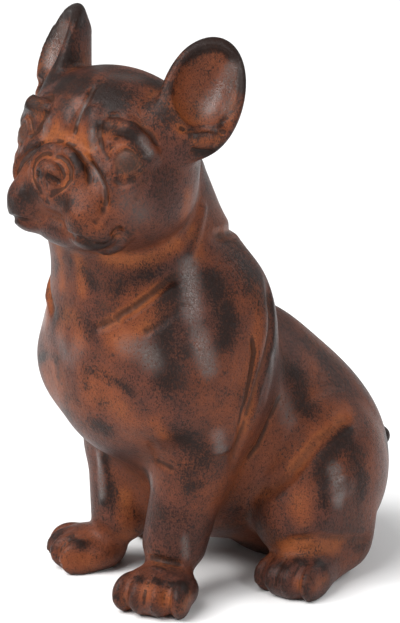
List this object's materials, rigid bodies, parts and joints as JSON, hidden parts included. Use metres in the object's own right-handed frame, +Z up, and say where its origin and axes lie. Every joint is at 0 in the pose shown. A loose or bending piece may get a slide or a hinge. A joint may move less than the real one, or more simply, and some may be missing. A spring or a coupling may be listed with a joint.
{
  "type": "sitting dog statue",
  "caption": "Sitting short-faced dog with bat ears, cast in one piece, resting on its paws and rump as a garden or doorway figure.",
  "frame": {"origin": "middle of the figure's outline on the floor plane", "axes": "+Z up, -Y the way the chest faces, +X towards the dog's own left side"},
  "size_m": [0.2503, 0.3626, 0.4505],
  "materials": {
    "patina": "rust brown with dark worn patches, satin"
  },
  "bodies": {
    "root": {"dog": "patina"}
  },
  "joints": []
}
